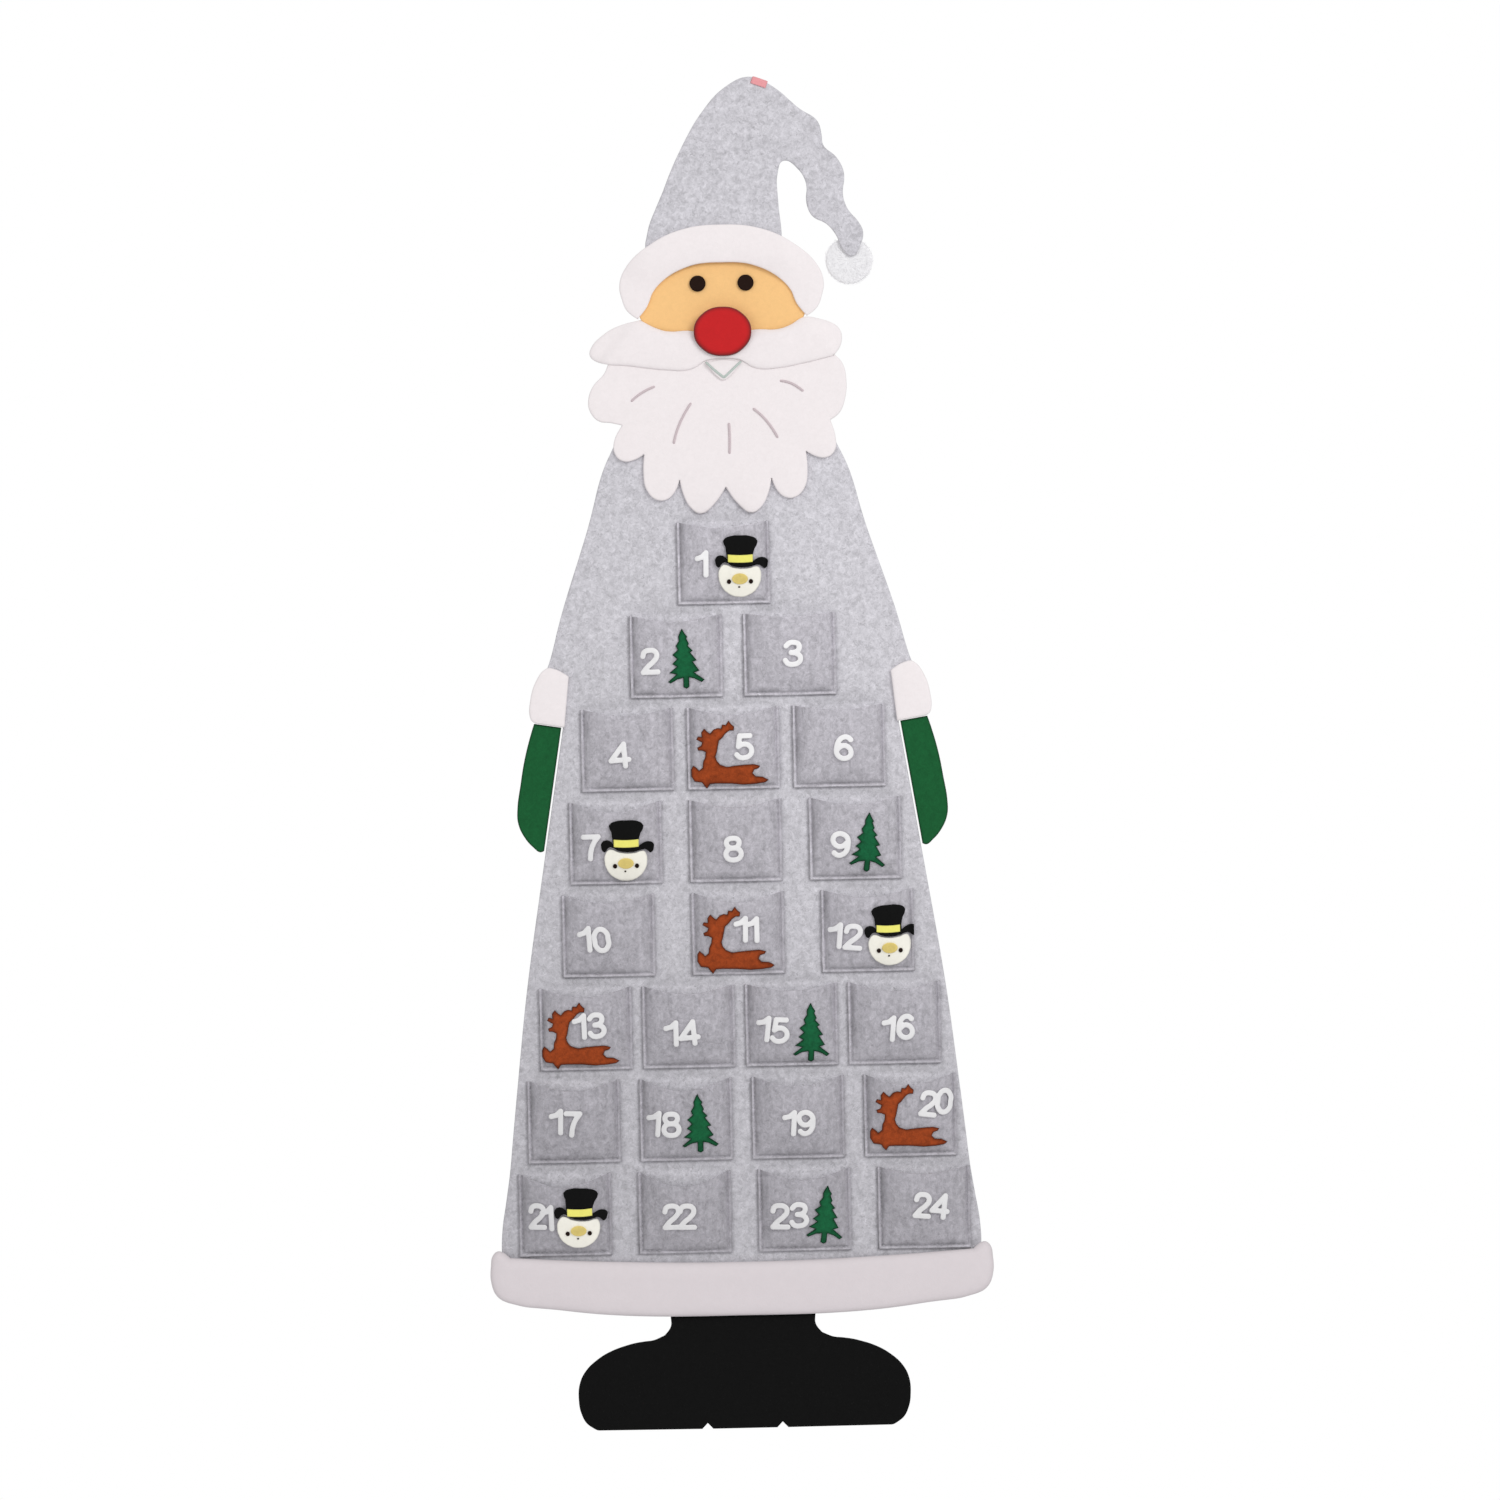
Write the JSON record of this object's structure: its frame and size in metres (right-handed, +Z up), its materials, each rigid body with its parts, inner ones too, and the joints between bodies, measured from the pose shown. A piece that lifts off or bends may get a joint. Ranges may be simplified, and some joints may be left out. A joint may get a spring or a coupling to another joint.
{
  "type": "wall advent calendar",
  "caption": "Hanging felt advent calendar shaped as a bearded figure in a pointed hat and long gown, with rows of numbered open pockets and a ribbon loop for a nail.",
  "frame": {"origin": "top inside edge of the ribbon loop's eye, where it rests on the nail, in the middle of the ribbon's thickness", "axes": "+Z up along the figure's height, -Y out of the front with the pockets, +Y into the wall, +X to the right as seen from the front"},
  "size_m": [0.3922, 0.0184, 1.0535],
  "materials": {
    "grey_felt": "light grey heathered wool-blend felt, matt",
    "pocket_felt": "slightly darker grey felt, matt",
    "white_felt": "off-white felt, matt",
    "peach_felt": "warm peach felt, matt",
    "red_felt": "deep red felt, matt",
    "black_felt": "black felt, matt",
    "green_felt": "dark green felt, matt",
    "brown_felt": "reddish brown felt, matt",
    "dark_eyes": "dark brown felt, matt",
    "ribbon": "pink woven ribbon, matt"
  },
  "bodies": {
    "calendar": {"beard": "white_felt", "deer_05": "brown_felt", "deer_11": "brown_felt", "deer_13": "brown_felt", "deer_20": "brown_felt", "face": "peach_felt", "gown_panel": "grey_felt", "hat": "grey_felt", "hat_brim": "white_felt", "hem_band": "white_felt", "left_cuff": "white_felt", "left_eye": "dark_eyes", "lower_lip": "white_felt", "moustache": "white_felt", "nose": "red_felt", "pocket_01": "pocket_felt", "pocket_02": "pocket_felt", "pocket_03": "pocket_felt", "pocket_04": "pocket_felt", "pocket_05": "pocket_felt", "pocket_06": "pocket_felt", "pocket_07": "pocket_felt", "pocket_08": "pocket_felt", "pocket_09": "pocket_felt", "pocket_10": "pocket_felt", "pocket_11": "pocket_felt", "pocket_12": "pocket_felt", "pocket_13": "pocket_felt", "pocket_14": "pocket_felt", "pocket_15": "pocket_felt", "pocket_16": "pocket_felt", "pocket_17": "pocket_felt", "pocket_18": "pocket_felt", "pocket_19": "pocket_felt", "pocket_20": "pocket_felt", "pocket_21": "pocket_felt", "pocket_22": "pocket_felt", "pocket_23": "pocket_felt", "pocket_24": "pocket_felt", "pompom": "white_felt", "right_cuff": "white_felt", "right_eye": "dark_eyes", "snowman_face_01": "white_felt", "snowman_face_07": "white_felt", "snowman_face_12": "white_felt", "snowman_face_21": "white_felt", "snowman_hat_01": "black_felt", "snowman_hat_07": "black_felt", "snowman_hat_12": "black_felt", "snowman_hat_21": "black_felt", "tree_02": "green_felt", "tree_09": "green_felt", "tree_15": "green_felt", "tree_18": "green_felt", "tree_23": "green_felt"},
    "boots": {"boots": "black_felt"},
    "right_mitten": {"right_mitten": "green_felt"},
    "left_mitten": {"left_mitten": "green_felt"},
    "hanging_loop": {"hanging_loop": "ribbon"}
  },
  "joints": [
    {"name": "boots_bend", "type": "hinge", "parent": "calendar", "child": "boots", "pos_m": [-0.024, -0.0005, -0.95721], "axis": [-1, 0, 0], "range_deg": [0, 90]},
    {"name": "right_mitten_bend", "type": "hinge", "parent": "calendar", "child": "right_mitten", "pos_m": [0.10824, -0.0005, -0.49615], "axis": [-0.9874, 0, -0.1581], "range_deg": [0, 90]},
    {"name": "left_mitten_bend", "type": "hinge", "parent": "calendar", "child": "left_mitten", "pos_m": [-0.15624, -0.0005, -0.49615], "axis": [-0.9874, 0, 0.1581], "range_deg": [0, 90]},
    {"name": "loop_fold", "type": "hinge", "parent": "calendar", "child": "hanging_loop", "pos_m": [0, 0.0005, -0.023], "axis": [-1, 0, 0], "range_deg": [0, 175]}
  ]
}
